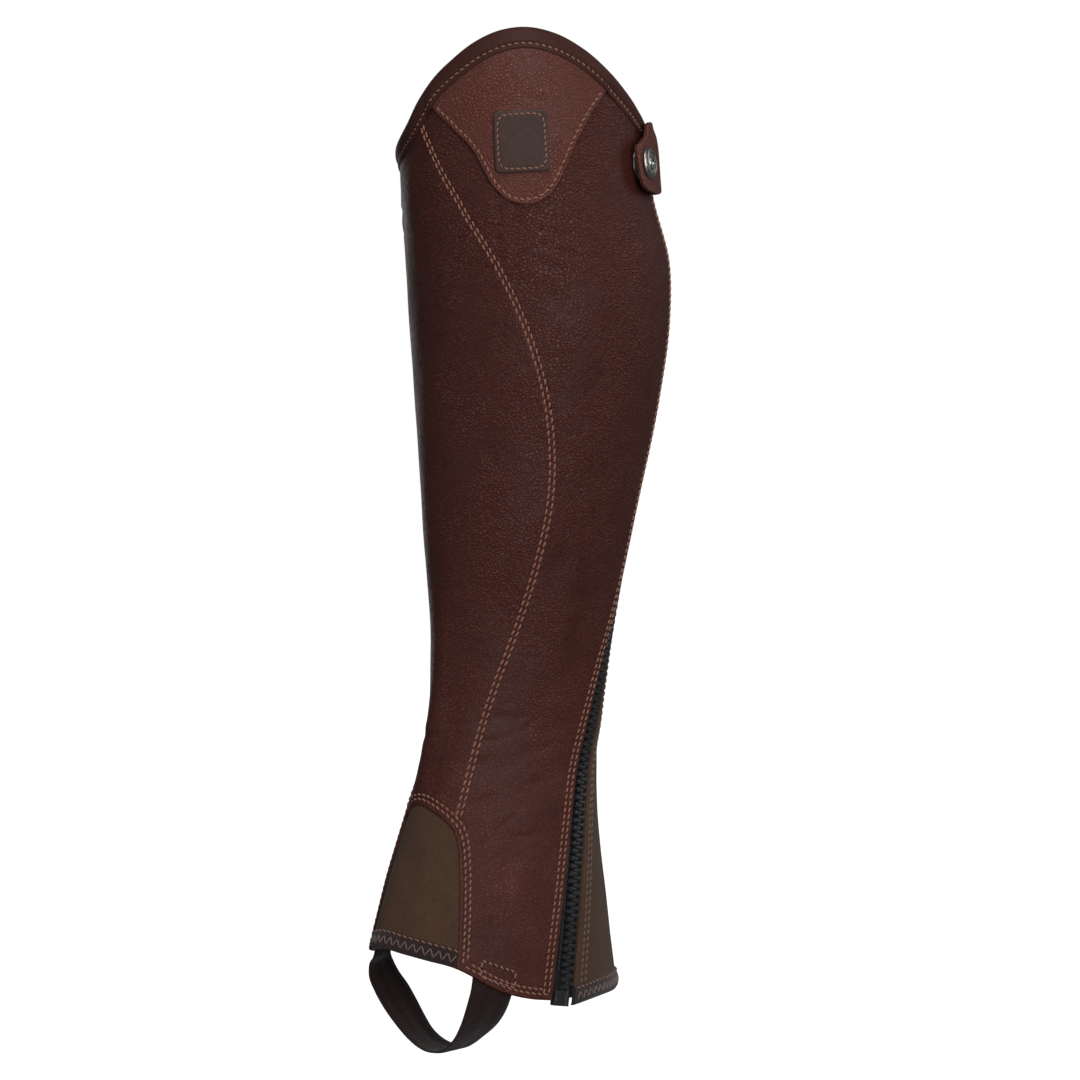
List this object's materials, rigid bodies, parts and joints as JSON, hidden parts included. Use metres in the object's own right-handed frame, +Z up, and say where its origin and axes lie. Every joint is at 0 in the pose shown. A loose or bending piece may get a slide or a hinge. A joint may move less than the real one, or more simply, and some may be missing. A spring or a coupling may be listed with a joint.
{
  "type": "half chap",
  "caption": "Left half chap filled out as worn: grained leather panels, rear stretch panel, side-rear zip under a snap tab, arched gusset over the instep and an elastic stirrup strap",
  "frame": {"origin": "on the leg's axis at the level where the calf is widest, where the wearer's calf holds the half chap", "axes": "+Z up the leg, -Y the shin, +X the outer side of the left leg"},
  "size_m": [0.1128, 0.1476, 0.4531],
  "materials": {
    "outer_panel": "pebbled grain, low sheen",
    "shin_panel": "pebbled grain, low sheen",
    "inner_panel": "pebbled grain, low sheen",
    "shield_overlay": "pebbled grain, low sheen",
    "badge": "smooth and matt, bare",
    "top_binding": "smooth, padded",
    "front_gusset": "matt stretch cloth",
    "front_gusset_hem": "folded tape, zigzag sewn",
    "rear_stretch": "matt stretch cloth",
    "rear_stretch_hem": "folded tape, zigzag sewn",
    "zip_tape_front": "woven tape",
    "zip_tape_rear": "woven tape",
    "zip_chain": "moulded",
    "zip_end_box": "moulded",
    "zip_slider": "dark, half gloss",
    "zip_pull": "dark, half gloss",
    "snap_tab": "pebbled grain, raw fibre edge",
    "snap_cap": "worn silver plate",
    "snap_socket": "worn silver plate",
    "snap_stud": "worn silver plate",
    "stirrup_strap": "ribbed woven elastic"
  },
  "bodies": {
    "half_chap": {"outer_panel": "outer_panel", "shin_panel": "shin_panel", "inner_panel": "inner_panel", "shield_overlay": "shield_overlay", "badge": "badge", "top_binding": "top_binding", "front_gusset": "front_gusset", "front_gusset_hem": "front_gusset_hem", "rear_stretch": "rear_stretch", "rear_stretch_hem": "rear_stretch_hem", "zip_tape_front": "zip_tape_front", "zip_tape_rear": "zip_tape_rear", "zip_chain": "zip_chain", "zip_end_box": "zip_end_box", "zip_slider": "zip_slider", "snap_tab": "snap_tab", "snap_cap": "snap_cap", "snap_socket": "snap_socket", "snap_stud": "snap_stud", "stirrup_strap": "stirrup_strap"},
    "pull": {"zip_pull": "zip_pull"}
  },
  "joints": [
    {"name": "pull_swing", "type": "hinge", "parent": "half_chap", "child": "pull", "pos_m": [0.03104, 0.0384, 0.05834], "axis": [0.8135, -0.5815, 0], "range_deg": [-3, 5]}
  ]
}
